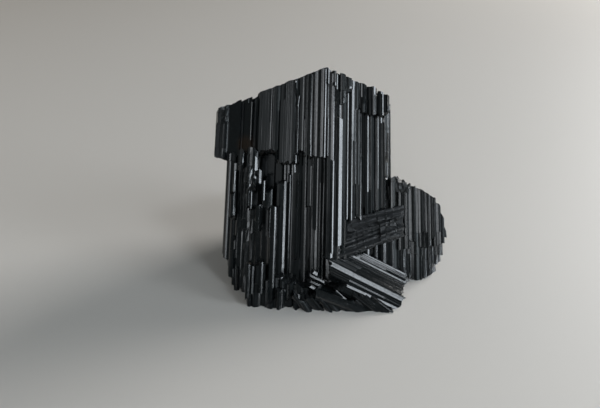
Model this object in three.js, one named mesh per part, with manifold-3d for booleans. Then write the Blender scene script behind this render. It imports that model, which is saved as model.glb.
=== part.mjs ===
// A black tourmaline (schorl) specimen: a sheaf of striated prisms grown together into one
// solid, with a smaller lobe at its right, two crystals lying across its foot and a flat cut
// underneath on which it stands. Units are millimetres and degrees, and +Z is up.
import * as THREE from 'three';
import { mergeVertices } from 'three/addons/utils/BufferGeometryUtils.js';
import Module from 'manifold-3d';

const wasm = await Module();
wasm.setup();

// The sheaf has a frame of its own: x runs right, v runs back and u runs up the long axis.
const LEAN = 30;                 // the long axis leans back from the vertical by this angle
const ROOT = -12;                // columns that reach the ground go on to this u, under the cut
const APEX_X = 6;
const APEX_U = 59.6;             // the highest point of the front ridge
const ROOF_LEFT = 0.235;         // fall of the roof for each millimetre left of the apex
const ROOF_RIGHT = 0.26;         // the same to the right of it
const ROOF_BACK = 0.22;          // fall of the roof for each millimetre back from the ridge
const SPREAD = 0.0013;           // how fast the columns fan out towards their root
const SPREAD_X = 20;             // the column at this x stays straight
const SPREAD_U = 40;             // the height at which nothing is displaced
const LATTICE = -17;             // prism faces look 60 degrees apart, starting from this bearing
const RIDGE_X = 8;               // the vertical ridge where the two front faces meet
const LEFT_FACE = 0.30;          // how far the left front face falls back for each millimetre
const RIGHT_FACE = 0.42;         // the same for the right front face
const SLIVER = 0.02;             // edges shorter than this are closed up after everything is joined

const rad = THREE.MathUtils.degToRad;

// A repeatable stream of numbers from 0 to 1.
function stream(seed) {
  let state = (seed * 7919 + 17) >>> 0;
  const next = () => {
    state = (Math.imul(state, 1664525) + 1013904223) >>> 0;
    return state / 4294967296;
  };
  next();
  next();
  return next;
}

const roof = (x, v) => APEX_U - ROOF_BACK * Math.max(0, v)
  - (x < APEX_X ? ROOF_LEFT * (APEX_X - x) : ROOF_RIGHT * (x - APEX_X));
const frontOf = (x) => (x < RIDGE_X ? LEFT_FACE * (RIDGE_X - x) : RIGHT_FACE * (x - RIDGE_X));

// The part of a convex outline that lies behind the line normal * point = reach.
function clip(outline, normal, reach) {
  const kept = [];
  outline.forEach((a, i) => {
    const b = outline[(i + 1) % outline.length];
    const da = a.dot(normal) - reach;
    const db = b.dot(normal) - reach;
    if (da <= 0) kept.push(a);
    if (da * db < 0) kept.push(a.clone().lerp(b, da / (da - db)));
  });
  return kept;
}

// The direction that a wall looks in: bearing 0 looks forward and 90 looks right.
const facing = (bearing) => new THREE.Vector2(Math.sin(rad(bearing)), -Math.cos(rad(bearing)));
const square = (reach) => [[-1, -1], [1, -1], [1, 1], [-1, 1]]
  .map(([a, b]) => new THREE.Vector2(a * reach, b * reach));

// A prism's section: six faces on the lattice bearings, each touching an ellipse of the given
// half width and half depth, some a little nearer than others. Pushing the face that looks
// right and forward out by lopsided makes it narrow and the one beside it wide.
function section(halfWidth, halfDepth, random, { turn = 0, lopsided = 0.12, uneven = 0.16 } = {}) {
  let outline = square(3 * Math.max(halfWidth, halfDepth));
  for (let k = 0; k < 6; k++) {
    const normal = facing(LATTICE + turn + 60 * k);
    const touch = Math.hypot(halfWidth * normal.x, halfDepth * normal.y);
    const share = 0.96 + uneven * (random() - 0.5) + (k === 1 ? lopsided : 0);
    outline = clip(outline, normal, touch * share);
  }
  return outline;
}

// A section from its walls, each given by its bearing and how far out it stands.
const faceted = (walls) => walls.reduce(
  (outline, [bearing, reach]) => clip(outline, facing(bearing), reach), square(20));

// A closed prism over an outline, from one sloping end to another. Each end is given as its
// height at the section's middle and its fall along x and v.
function prism(outline, bottom, top) {
  const mid = outline.reduce((sum, p) => sum.add(p), new THREE.Vector2()).divideScalar(outline.length);
  const geometry = new THREE.ExtrudeGeometry(new THREE.Shape(outline), { depth: 1, bevelEnabled: false });
  const position = geometry.getAttribute('position');
  for (let i = 0; i < position.count; i++) {
    const end = position.getZ(i) > 0.5 ? top : bottom;
    const dx = position.getX(i) - mid.x;
    const dv = position.getY(i) - mid.y;
    position.setZ(i, end.u + end.alongX * dx + end.alongV * dv);
  }
  return geometry;
}

// The sheaf's columns spread a little towards the root, all in the same way.
function spread(geometry) {
  const position = geometry.getAttribute('position');
  for (let i = 0; i < position.count; i++) {
    const x = position.getX(i);
    position.setX(i, x + SPREAD * (x - SPREAD_X) * (SPREAD_U - position.getZ(i)));
  }
  return geometry;
}

function solidOf(geometry) {
  const bare = new THREE.BufferGeometry();
  bare.setAttribute('position', geometry.getAttribute('position'));
  if (geometry.index) bare.setIndex(geometry.index);
  const merged = mergeVertices(bare, 1e-4);
  return new wasm.Manifold(new wasm.Mesh({
    numProp: 3,
    vertProperties: new Float32Array(merged.getAttribute('position').array),
    triVerts: new Uint32Array(merged.index.array),
  }));
}

const flat = (u) => ({ u, alongX: 0, alongV: 0 });
const onRoof = (x, v, drop) => (
  { u: roof(x, v) - drop, alongX: x < APEX_X ? ROOF_LEFT : -ROOF_RIGHT, alongV: -ROOF_BACK });

// An end that broke across: its height and a random slope each way, or the slopes given.
function tilted(end, random, steep = 0.5) {
  if (Array.isArray(end)) return { u: end[0], alongX: end[1], alongV: end[2] };
  const alongX = steep * (random() - 0.5) * 2;
  const alongV = steep * (random() - 0.5) * 2;
  return { u: end, alongX, alongV };
}

const solids = [];

// The turn that makes the right front face of a column at x look at the same far point.
const toWindow = (x) => -8.3 - 0.17 * x;

// One upright column whose front stands at v. A missing top stands on the roof, and a missing
// foot goes into the ground.
function column({ x, v, w, d = w, top, foot, drop = 0, turn, lopsided, uneven, steep, seed }) {
  const random = stream(seed);
  const turned = turn === 'window' ? toWindow(x) : turn;
  const outline = section(w, d, random, { turn: turned, lopsided, uneven })
    .map((p) => p.add(new THREE.Vector2(x, v + d)));
  const upper = top === undefined ? onRoof(x, v + d, drop) : tilted(top, random, steep);
  const lower = foot === undefined ? flat(ROOT) : tilted(foot, random, steep);
  solids.push(solidOf(spread(prism(outline, lower, upper))));
}

// The solid heart of the sheaf. It stays below the roof, where the crown covers it.
function core() {
  const outline = [
    [-13, 8.5], [-8, 7], [0, 6.4], [12, 4.4], [20, 8],
    [22, 14], [17, 24], [8, 28.5], [-6, 27.5], [-15, 19],
  ];
  const points = outline.map(([x, v]) => new THREE.Vector2(x, v));
  solids.push(solidOf(spread(prism(points, flat(ROOT), flat(15)))));
  const upper = outline.map(([x, v]) => new THREE.Vector2(x, Math.max(v, frontOf(x) + 4)));
  solids.push(solidOf(spread(prism(upper, flat(10), { u: 43, alongX: 0, alongV: -ROOF_BACK }))));
}

// The broken top: stout columns side by side that end on the roof, some of them lower.
function crown() {
  const random = stream(5);
  for (let row = 0; row < 6; row++) {
    for (let k = 0; k < 8; k++) {
      const x = -14.5 + 4.6 * k + (row % 2) * 2.3 + 1.2 * (random() - 0.5);
      const v = 6 + 3.8 * row + 1.2 * (random() - 0.5);
      const drop = 0.4 + 5 * random() * random();
      const w = 2.9 + 0.9 * random();
      const inside = v - w > frontOf(x) + 1.6 && v < 25 - 0.03 * (x - 3) ** 2;
      if (inside) column({ x, v: v - w, w, d: w, foot: 25, drop, seed: 1300 + 10 * row + k });
    }
  }
}

// The slab on the upper left front: broad prisms whose broken feet make a ragged ledge.
function slab() {
  const prisms = [
    { x: -8.7, w: 3.3, foot: 39.1 }, { x: -3.6, w: 2.9, foot: 36.2 },
    { x: 0, w: 1, foot: 39.2, back: 0.35 }, { x: 1.7, w: 1.1, foot: 38.2, back: 0.1, turn: 4 },
    { x: 3.7, w: 1.5, foot: 37.8, turn: 7 }, { x: 5.6, w: 1.4, foot: 37.4, turn: 7 },
  ];
  prisms.forEach(({ x, w, foot, back = 0, turn }, i) => {
    const v = frontOf(x) + back;
    const level = { drop: -0.35, lopsided: 0.6, uneven: 0.02, steep: 0.06 };
    column({ x, v, w, d: 2.6, foot, turn, ...level, seed: 100 + i });
  });
}

// The columns under the ledge, set back from the slab and running down to the ground.
function underSlab() {
  const columns = [
    { x: -10.4, back: 3.8 }, { x: -7.8, back: 4.2 }, { x: -5.4, back: 3.4 }, { x: -3.2, back: 2.6 },
    { x: -1.0, back: 2.4 }, { x: 1.4, back: 2.6, w: 1.9 }, { x: 4.6, back: 1.6, w: 2 },
  ];
  columns.forEach(({ x, back, w = 1.6 }, i) => {
    column({ x, v: frontOf(x) + back, w, d: 2.4, top: 48, lopsided: 0.4, seed: 200 + i });
  });
}

// The front ridge and the tall stripe beside it.
function ridge() {
  const columns = [
    { x: 7.3, v: 0.1, w: 0.9, d: 2.4, foot: 12.5, drop: 0.8 }, { x: 6.6, v: 0.3, w: 1.2, d: 2, foot: 50 },
    { x: 9.9, v: 0.1, w: 0.75, d: 2.2, top: 47.4, foot: 15.6, turn: 'window', lopsided: -0.1 },
    { x: 9.0, v: 1.0, w: 1.3, d: 2.4, foot: 12, drop: 0.3 },
    { x: 10.8, v: 1.7, w: 1.4, d: 2.4, foot: 12, drop: 0.4 },
    { x: 12.6, v: 2.6, w: 1.4, d: 2.4, foot: 30, drop: 0.2 },
    { x: 8.1, v: -0.1, w: 0.5, d: 1.6, foot: 13, drop: 1.2, turn: 'window' },
    { x: 10.6, v: 0.9, w: 0.9, d: 1.6, foot: 50.5 }, { x: 12, v: 1.5, w: 0.8, d: 1.6, foot: 53.5 },
  ];
  columns.forEach((spec, i) => column({ ...spec, seed: 301 + i }));
}

// The right front face: long columns that end on the dull crystal, and a row of blocks on top.
function rightFace() {
  const columns = [
    { x: 11.7, w: 0.55, top: 53, foot: 21.4, back: 0.1, turn: 'window' },
    { x: 12.8, w: 0.45, top: 53.8, foot: 20.8, back: 0, turn: 'window' },
    { x: 13.7, w: 0.6, top: 55, foot: 21.6, back: 0.7 }, { x: 14.7, w: 0.9, top: 49, foot: 22, back: 0.5 },
    { x: 15.8, w: 0.5, top: 51, foot: 22.6, back: 0.4, turn: 'window' },
    { x: 17.2, w: 0.5, top: 50, foot: 22.8, back: 0.6, turn: 'window' },
    { x: 18.4, w: 1.1, top: 50, foot: 23.4, back: 0.9 }, { x: 20.2, w: 1.1, top: 50, foot: 24, back: 0.7 },
    { x: 21.7, w: 0.6, top: 47.4, foot: 24.6, back: 0.3, turn: 'window' },
    { x: 22.4, w: 0.6, top: 49, foot: 27, back: 0.9 }, { x: 15.9, w: 1.0, foot: 49.4, back: -0.2 },
    { x: 18.6, w: 1.5, foot: 48.8, back: -0.9 }, { x: 20.9, w: 0.9, foot: 48.6, back: -0.5, turn: 'window' },
    { x: 22.5, w: 1.1, foot: 49.4, back: -0.5, turn: 'window' }, { x: 14.3, w: 1.1, foot: 50, back: 0.4 },
  ];
  columns.forEach(({ back, ...spec }, i) => {
    column({ ...spec, v: frontOf(spec.x) + back, d: 2.4, seed: 400 + i });
  });
  column({ x: 24.2, v: 6, w: 0.8, d: 1, top: 31.6, foot: 25, seed: 420 });
  for (let i = 0; i < 5; i++) {
    column({ x: 17.5 + 2.1 * i, v: 5 + 0.6 * i, w: 1.5, d: 3, top: 26, foot: 2 + 0.6 * i, seed: 430 + i });
  }
}

// The block that stands out at the upper left.
function leftBlock() {
  column({ x: -20.6, v: 7.6, w: 2.2, d: 3, foot: 38, drop: -0.2, turn: -26, seed: 501 });
  column({ x: -17.6, v: 7.4, w: 1.8, d: 3, foot: 38.6, drop: 0.2, seed: 502 });
  column({ x: -14.6, v: 6.8, w: 2, d: 3, foot: 37, drop: 0.4, seed: 503 });
  column({ x: -12.4, v: 6.9, w: 1.6, d: 3, foot: 38, drop: 0.3, seed: 504 });
}

// The left flank: columns broken off one below another, like a flight of stairs.
function leftFlank() {
  const columns = [
    { x: -17.7, v: 6.8, w: 1.7, top: 38.4, foot: 12 }, { x: -16.2, v: 6, top: 36, foot: 9 },
    { x: -14.9, v: 5.3, top: 38.6, foot: 7 }, { x: -13.6, v: 4.7, top: 34, foot: 3 },
    { x: -12.4, v: 4.1, top: 39, foot: 0.5 }, { x: -11, v: 3.5, top: 33 },
    { x: -9.6, v: 2.8, top: 26, w: 1.3 }, { x: -8.2, v: 2.4, top: 29 },
    { x: -6.6, v: 1.8, top: 24, w: 1.2 }, { x: -4.6, v: 2.3, top: 31, w: 1.3 },
  ];
  columns.forEach((spec, i) => column({ w: 1.5, d: 2.2, ...spec, seed: 600 + i }));
}

// Slender broken columns in front of the flank, turned alike so that they shine together.
function brightStrips() {
  const columns = [
    { x: -16.7, v: 4.7, w: 0.85, top: 28.4, foot: 21.8, seed: 640 },
    { x: -12.7, v: 2.8, w: 0.9, top: 35, foot: 29, seed: 642 },
    { x: -11.7, v: 2.4, w: 0.8, top: 32, foot: 28.6, seed: 643 },
    { x: -10.1, v: 1.3, w: 0.75, top: 24.8, foot: 18.6, seed: 646 },
    { x: -5.2, v: 0.3, w: 0.85, top: 24.6, seed: 649 },
    { x: -9.4, v: -1.3, w: 0.55, top: 10.4, foot: 5.6, seed: 655 },
    { x: -8.7, v: -1.4, w: 0.5, top: 11.2, foot: 3.4, seed: 656 },
  ];
  columns.forEach((spec) => column({ ...spec, d: 1.6, turn: 'window', steep: 0.3 }));
}

// Short broken columns that crowd the front of the left flank.
function shards() {
  const random = stream(77);
  for (let i = 0; i < 12; i++) {
    const x = -17 + 13 * random();
    const top = 8 + 24 * random();
    const length = 4 + 9 * random();
    const v = 1.9 + 0.3 * Math.max(0, -9 - x) + 1.2 * random() + 0.05 * top;
    column({ x, v, w: 0.5 + 0.5 * random(), d: 1.4, top, foot: top - length, seed: 700 + i });
  }
}

// The low fringe at the foot: stubs that reach the ground, and rods that lie on it.
function fringe() {
  const upright = stream(31);
  for (let i = 0; i < 16; i++) {
    const x = -11.6 + 0.9 * i + 0.5 * upright();
    const v = -0.9 - 0.06 * i + 1.3 * upright();
    const top = 3 + 8 * upright() - 0.5 * i;
    column({ x, v, w: 0.6 + 0.7 * upright(), d: 2.4, top: Math.max(1.4, top), seed: 800 + i });
  }
  for (let i = 0; i < 5; i++) {
    column({ x: -5 + 1.7 * i, v: 0.2, w: 1.4, d: 3, top: 8 - 0.8 * i, seed: 820 + i });
  }
  const flatter = stream(43);
  for (let i = 0; i < 18; i++) {
    const x = -0.5 + 1.05 * i;
    const v = -1.9 + 0.9 * flatter();
    const high = i < 9 ? 3 : 1.4;
    const from = [x - 1, v + 1.6, high * (0.4 + 0.6 * flatter())];
    const to = [x + 1.6 + 2 * flatter(), v + 1.4, -1.6 - flatter()];
    lying({ from, to, w: 0.5 + 0.6 * flatter(), d: 1.6, seed: 840 + i });
  }
}

// The lobe at the right, a small sheaf of its own with a rounded outline.
function lobe() {
  const columns = [
    [26.6, 31, -0.5, 4], [28.6, 30.2, -0.2, 4], [30.4, 29.6, -0.4, 4.6], [32.2, 28.8, -0.5, 5.2],
    [34, 27.8, -0.7, 7], [35.4, 26.2, -1, 10], [36.4, 24.2, -1.8, 12.5], [37.2, 21.6, -2.4, 16],
  ];
  columns.forEach(([x, top, slope, foot], i) => {
    const v = 7.4 + 0.02 * (x - 27) ** 2;
    const ledge = Math.max(foot, 14 + 2 * (i % 3));
    const turn = i >= 2 && i <= 5 ? 3 : 0;
    const second = top - 1.4;
    column({ x, v, w: 1.3, d: 3, top: [top, slope, 0], foot: ledge, turn, seed: 900 + i });
    column({ x: x + 0.3, v: v + 1.2, w: 1.3, d: 3, top: [second, slope, 0], foot, turn, seed: 910 + i });
    column({ x: x - 0.6, v: v + 4, w: 1.9, d: 4, top: [top - 2, slope, -0.2], foot: foot + 1, seed: 920 + i });
  });
  column({ x: 30, v: 9, w: 4, d: 6, top: 26, seed: 940 });
  column({ x: 24.4, v: 8, w: 3.4, d: 6, top: 27.6, seed: 941 });
  column({ x: 33.4, v: 9.6, w: 3.4, d: 5, top: 25, foot: 9.5, seed: 942 });
  column({ x: 35.4, v: 10.6, w: 2.2, d: 4, top: 23, foot: 13, seed: 943 });
}

// A crystal lying across the sheaf, from one end of its axis to the other, as x, v and u. Its
// section is a six-sided one, or the one that its walls give, and its ends may have set slopes.
function lying({ from, to, w, d, walls, lowEnd, highEnd, seed, turn = 0 }) {
  const random = stream(seed);
  const start = new THREE.Vector3(...from);
  const along = new THREE.Vector3(...to).sub(start);
  const outline = walls ? faceted(walls) : section(w, d, random, { turn });
  const bottom = tilted(lowEnd ? [0, ...lowEnd] : 0, random);
  const top = tilted(highEnd ? [along.length(), ...highEnd] : along.length(), random);
  const geometry = prism(outline, bottom, top);
  const up = along.clone().normalize();
  const deep = new THREE.Vector3(0, 1, 0).addScaledVector(up, -up.y).normalize();
  const side = new THREE.Vector3().crossVectors(deep, up);
  geometry.applyMatrix4(new THREE.Matrix4().makeBasis(side, deep, up).setPosition(start));
  solids.push(solidOf(geometry));
}

// Two dull crystals that lie up to the right across the foot, a striped one that lies down to
// the right under them with a smaller one below it, and thin rods beside it.
function lyingCrystals() {
  lying({ from: [9, 5.2, 18.2], to: [27.2, 7.8, 22.8], w: 2.6, d: 3, seed: 11 });
  lying({ from: [8.6, 4.4, 13.4], to: [26.8, 7, 19.8], w: 3.2, d: 3.6, seed: 14 });
  const striped = [[0, 3.4], [-28, 2.44], [-45, 1.89], [45, 4.67], [-90, 4.7], [90, 4.7], [180, 4]];
  const slopes = { lowEnd: [-1.05, 0], highEnd: [-0.15, 0] };
  lying({ from: [8.6, 3, 10.9], to: [25.6, 3, 2.4], walls: striped, ...slopes, seed: 12 });
  [4.4, 3.2].forEach((t, i) => {
    const from = [14 + 0.45 * t, 1 + t, 8.6 + 0.9 * t];
    const to = [25.4 + 0.45 * t, 1 + t, 2.9 + 0.9 * t];
    lying({ from, to, w: 0.5, d: 0.5, seed: 50 + i, turn: -11 });
  });
  const lower = [[0, 3], [-28, 3.3], [-60, 3.1], [45, 3.4], [-90, 2.3], [90, 2.4], [180, 3]];
  lying({ from: [10.5, 2.4, 5.6], to: [24.6, 2.4, -1.4], walls: lower, seed: 13 });
  lying({ from: [4, 1.4, 3], to: [20, 1.4, -3], w: 2, d: 3.4, seed: 15 });
  const rods = [
    [[3, 2.4, 8.4], [4.6, 2.4, 7.4]], [[2.2, 2, 7.4], [6.4, 2, 5.4]],
    [[2, 1.6, 6.1], [5.4, 1.6, 4.6]], [[2, 1.4, 5.1], [6.4, 1.4, 2.7]],
  ];
  rods.forEach(([from, to], i) => lying({ from, to, w: 0.42, d: 1.4, seed: 20 + i, turn: -11 }));
  lying({ from: [6.7, 0.7, 2.6], to: [11.4, 0.1, -1.2], w: 0.6, d: 1.4, seed: 30, turn: -11 });
  lying({ from: [8.9, 0.8, 3.5], to: [12.6, 0.4, 0.3], w: 0.5, d: 1.4, seed: 31, turn: -11 });
}

// The sides and back that the front hides: a ring of columns round the core.
function aroundTheBack() {
  const ring = [
    [-14.6, 11], [-16.4, 15], [-14.4, 22], [-8, 28], [0, 30.5], [9, 30], [17, 26], [21, 19], [21.4, 10],
  ];
  const random = stream(9);
  for (let i = 0; i + 1 < ring.length; i++) {
    const [x0, v0] = ring[i];
    const [x1, v1] = ring[i + 1];
    const count = Math.round(Math.hypot(x1 - x0, v1 - v0) / 2.4);
    for (let k = 0; k < count; k++) {
      const t = (k + 0.5) / count;
      const w = 1.5 + 1.3 * random();
      const d = w * (0.8 + 0.5 * random());
      const drop = 8 * random() * random();
      const foot = random() < 0.25 ? 18 + 14 * random() : undefined;
      const x = x0 + (x1 - x0) * t;
      const v = v0 + (v1 - v0) * t - d;
      column({ x, v, w, d, drop, foot, seed: 1000 + 20 * i + k });
    }
  }
}

core();
crown();
slab();
underSlab();
ridge();
rightFace();
leftBlock();
leftFlank();
brightStrips();
shards();
fringe();
lobe();
lyingCrystals();
aroundTheBack();

// Everything grown together is one solid. It leans back, and the ground cuts it off flat.
function grownTogether() {
  const lean = new THREE.Matrix4().makeRotationX(-rad(LEAN));
  const leaning = wasm.Manifold.union(solids).transform(lean.elements);
  const ground = new THREE.BoxGeometry(400, 400, 200).translate(0, 0, -100);
  const parts = leaning.subtract(solidOf(ground)).decompose();
  return parts.sort((a, b) => b.volume() - a.volume())[0].simplify(SLIVER);
}

const mesh = grownTogether().getMesh();
const geometry = new THREE.BufferGeometry();
geometry.setAttribute('position', new THREE.BufferAttribute(new Float32Array(mesh.vertProperties), 3));
geometry.setIndex(new THREE.BufferAttribute(new Uint32Array(mesh.triVerts), 1));
geometry.computeBoundingBox();
const { min, max } = geometry.boundingBox;
geometry.translate(-(min.x + max.x) / 2, -(min.y + max.y) / 2, -min.z);

const schorl = new THREE.MeshStandardMaterial({ color: 0x14161a, roughness: 0.28, metalness: 0 });
const crystal = new THREE.Mesh(geometry, schorl);
crystal.name = 'tourmaline_crystal';
const specimen = new THREE.Group();
specimen.add(crystal);

export default specimen;
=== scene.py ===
# %% [markdown]
# # A black tourmaline specimen
# The object is a hand-sized cluster of schorl, the black kind of tourmaline. It is a sheaf of
# prisms that grew side by side into one solid piece: a tall block with a front ridge, a lobe at
# its right, and a few crystals lying across its foot. It leans back and is cut flat underneath.
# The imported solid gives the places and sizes. Here each prism is worked out again with its
# lengthwise lines, small ledges and broken ends, and all of them are joined into one skin.

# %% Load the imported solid
import math

import bmesh
import bpy
import numpy as np
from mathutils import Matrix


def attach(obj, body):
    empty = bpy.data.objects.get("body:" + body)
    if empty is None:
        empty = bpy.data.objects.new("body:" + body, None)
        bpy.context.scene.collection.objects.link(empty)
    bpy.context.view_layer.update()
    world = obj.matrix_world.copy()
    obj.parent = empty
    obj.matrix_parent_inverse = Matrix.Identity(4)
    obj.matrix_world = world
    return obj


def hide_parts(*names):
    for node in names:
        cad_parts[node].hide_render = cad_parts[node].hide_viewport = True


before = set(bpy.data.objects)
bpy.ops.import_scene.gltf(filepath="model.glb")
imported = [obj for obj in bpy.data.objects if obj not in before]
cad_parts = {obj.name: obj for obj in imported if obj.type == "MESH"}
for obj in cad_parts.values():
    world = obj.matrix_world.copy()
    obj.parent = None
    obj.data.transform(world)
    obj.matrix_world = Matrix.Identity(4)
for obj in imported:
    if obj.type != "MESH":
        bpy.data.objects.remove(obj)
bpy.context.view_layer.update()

# %% [markdown]
# ## The camera
# The picture looks down at the specimen by about thirty degrees, with a wide lens, from some
# twelve centimetres away. The camera could be placed by eye, but it is easier to keep when it is
# worked out: it looks along a line through a point on the front ridge, from a set distance.

# %% Place the camera
MM = 0.001
LEAN = math.radians(30)          # the sheaf's long axis leans back by this angle
SHEAF_ORIGIN = np.array([-8.324, -25.735, 0.0])   # where the sheaf's own zero stands, in mm
LOOK_DOWN = math.radians(30)
CAMERA_DISTANCE = 122.0          # from the ridge, in mm
AIM_HEIGHT = 25.4                # how far up the ridge the camera aims, in mm
IMAGE_WIDTH = 600
FOCAL_PIXELS = 490
SENSOR_MM = 36.0
CLIP_START = 0.005               # in metres

aim = SHEAF_ORIGIN + AIM_HEIGHT * np.array([0, math.sin(LEAN), math.cos(LEAN)])
eye = aim - CAMERA_DISTANCE * np.array([0, math.cos(LOOK_DOWN), -math.sin(LOOK_DOWN)])
lens = bpy.data.cameras.new("camera")
lens.sensor_width = SENSOR_MM
lens.lens = SENSOR_MM * FOCAL_PIXELS / IMAGE_WIDTH
lens.clip_start = CLIP_START
camera = bpy.data.objects.new("camera", lens)
camera.location = eye * MM
camera.rotation_euler = (math.pi / 2 - LOOK_DOWN, 0, 0)
bpy.context.scene.collection.objects.link(camera)
bpy.context.scene.camera = camera
print("camera at", [round(float(c), 4) for c in camera.location], "lens", round(lens.lens, 2))

# %% [markdown]
# ## The floor and the light
# The specimen stands on a pale worktop. A window at its right lights the faces that look to the
# right, and the room at the left gives a dimmer light. A few small lamps would light a matt thing
# well, but glossy black faces show what they mirror and little else, so big plain panels are
# used: a face is bright where it mirrors one.

# %% Lay the floor
FLOOR_HALF = 2.5                 # in metres
WORKTOP_COLOUR = (0.62, 0.595, 0.56, 1)
WORKTOP_ROUGHNESS = 0.6

floor_mesh = bpy.data.meshes.new("floor")
corners = FLOOR_HALF * np.array([[-1, -1, 0], [1, -1, 0], [1, 1, 0], [-1, 1, 0]], float)
floor_mesh.from_pydata(corners.tolist(), [], [(0, 1, 2, 3)])
floor = bpy.data.objects.new("floor", floor_mesh)
bpy.context.scene.collection.objects.link(floor)

floor_paint = bpy.data.materials.new("pale_worktop")
floor_paint.use_nodes = True
floor_shader = floor_paint.node_tree.nodes["Principled BSDF"]
floor_shader.inputs["Base Color"].default_value = WORKTOP_COLOUR
floor_shader.inputs["Roughness"].default_value = WORKTOP_ROUGHNESS
floor_mesh.materials.append(floor_paint)
print("floor", 2 * FLOOR_HALF, "metres a side")


# %% Set the lights
WINDOW_COLOUR = (0.84, 0.92, 1.0)
ROOM_COLOUR = (0.56, 0.64, 0.66, 1)
ROOM_STRENGTH = 0.125


def panel(name, place, target, size, power, colour):
    """A flat rectangular light at place that faces target, all in metres, with power in watts."""
    data = bpy.data.lights.new(name, "AREA")
    data.shape = "RECTANGLE"
    data.size, data.size_y = size
    data.energy = power
    data.color = colour
    lamp = bpy.data.objects.new(name, data)
    lamp.location = place
    away = np.array(place, float) - np.array(target, float)
    yaw = math.atan2(away[0], -away[1])
    pitch = math.atan2(math.hypot(away[0], away[1]), away[2])
    lamp.rotation_euler = (pitch, 0, yaw)
    bpy.context.scene.collection.objects.link(lamp)
    return lamp


# each with its place, its target, its size, its power and its colour
panel("window_right", (0.56, -0.20, 0.14), (0, 0, 0.03), (0.13, 0.30), 1.15, WINDOW_COLOUR)
panel("window_top", (0.58, -0.08, 0.27), (0, 0, 0.04), (0.12, 0.16), 0.5, WINDOW_COLOUR)
panel("wall_right", (0.70, -0.56, 0.42), (0, 0, 0.03), (0.45, 0.55), 0.9, (0.80, 0.92, 1.0))
panel("window_back", (1.50, 1.04, 0.68), (0.05, 0.05, 0), (0.9, 0.6), 41, (0.99, 0.97, 0.95))
panel("skylight", (0.355, -0.17, 0.57), (0.02, -0.02, 0.01), (0.165, 0.165), 0.62,
      (0.86, 0.93, 1.0))
panel("room_left", (-0.17, -0.58, 0.45), (0, 0, 0.04), (0.20, 0.38), 0.72, (0.90, 0.95, 1.0))
panel("room_far_left", (-0.50, -0.52, 0.52), (0, 0, 0.04), (0.36, 0.30), 0.085, (0.90, 0.96, 1.0))
panel("room_back_left", (-0.60, 0.55, 0.45), (0, 0, 0), (0.5, 0.5), 0.4, (1.0, 0.84, 0.66))
world = bpy.data.worlds.new("room")
world.use_nodes = True
world.node_tree.nodes["Background"].inputs["Color"].default_value = ROOM_COLOUR
world.node_tree.nodes["Background"].inputs["Strength"].default_value = ROOM_STRENGTH
bpy.context.scene.world = world
bpy.context.scene.view_settings.view_transform = "Standard"

# %% [markdown]
# ## Where the columns stand
# All the places are given in the sheaf's own frame, in millimetres: x runs right, v runs back
# and u runs up the long axis. The front has two faces that meet in a ridge, and the top falls
# away from the ridge to the left, the right and the back. Every column could be given its depth
# and its top by hand. Two plain functions give most of them instead, so that the whole shape
# changes with one number.

# %% Two front faces and a roof
ROOT = -12                       # columns that reach the ground go on to this u
APEX_X, APEX_U = 6, 59.6         # the highest point of the roof
ROOF_LEFT, ROOF_RIGHT, ROOF_BACK = 0.235, 0.26, 0.22    # the roof's fall for each mm that way
RIDGE_X = 8
LEFT_FACE, RIGHT_FACE = 0.30, 0.42      # how far a front face goes back for each mm from the ridge
SPREAD, SPREAD_X, SPREAD_U = 0.0013, 20, 40     # how the sheaf fans out, as said in fanned()


def roof(x, v):
    """Height of the roof: the apex, less a share of the way sideways and back from it."""
    sideways = ROOF_LEFT * (APEX_X - x) if x < APEX_X else ROOF_RIGHT * (x - APEX_X)
    return APEX_U - sideways - ROOF_BACK * max(0, v)


def front_of(x):
    """Depth of the front faces: zero at the ridge, growing evenly to its left and right."""
    return LEFT_FACE * (RIDGE_X - x) if x < RIDGE_X else RIGHT_FACE * (x - RIDGE_X)


print("the roof at the left end is", round(roof(-22, 8), 1), "mm up the long axis")

# %% [markdown]
# ## The section of a prism
# Tourmaline prisms have faces that look sixty degrees apart, the same way in every column,
# because the columns share one lattice. A section can be drawn by hand, but cutting a square with
# six lines, and then its corners with six more, gives each column its own shape on one lattice.
# A few broad faces carry steps so even that they look combed. There a row of teeth takes the
# place of the face, because real facets catch the light where a bump would not.

# %% Cut a section out of a square
LATTICE = -17                    # the bearing of the first face, in degrees
SQUARE = np.array([[-1, -1], [1, -1], [1, 1], [-1, 1]], float)
PAST_ALL_WALLS = 20              # in mm, more than any wall's reach
FACE_REACH = 0.96                # how far out a face is, as a share of the ellipse's own reach
LEAST_BEVEL = 0.25               # the narrowest bevel, as a share of the widest
TOOTH_RETURN = 0.25              # the width of a tooth's return, as a share of its facet's
TOOTH_ROOM = 0.05                # the last tooth stays this far from the corner, in mm
SEED_TIMES, SEED_PLUS = 7919, 17
STATE_TIMES, STATE_PLUS, STATE_END = 1664525, 1013904223, 2 ** 32


def stream(seed):
    """Repeatable numbers from 0 to 1: a state times a constant plus another, modulo 2 to the 32."""
    state = (seed * SEED_TIMES + SEED_PLUS) % STATE_END

    def step():
        nonlocal state
        state = (state * STATE_TIMES + STATE_PLUS) % STATE_END
        return state / STATE_END

    step()
    step()
    return step


def clip(outline, normal, reach):
    """The part of an outline where point times normal is at most reach."""
    side = outline @ normal - reach
    after = np.roll(side, -1)
    crossing = side * after < 0
    share = np.where(crossing, side / np.where(crossing, side - after, 1), 0)
    cut = outline + (np.roll(outline, -1, 0) - outline) * share[:, None]
    return np.stack([outline, cut], 1)[np.stack([side <= 0, crossing], 1)]


def facing(bearing):
    """The direction that a face looks in: bearing 0 looks forward and 90 looks right."""
    return np.array([math.sin(math.radians(bearing)), -math.cos(math.radians(bearing))])


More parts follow.
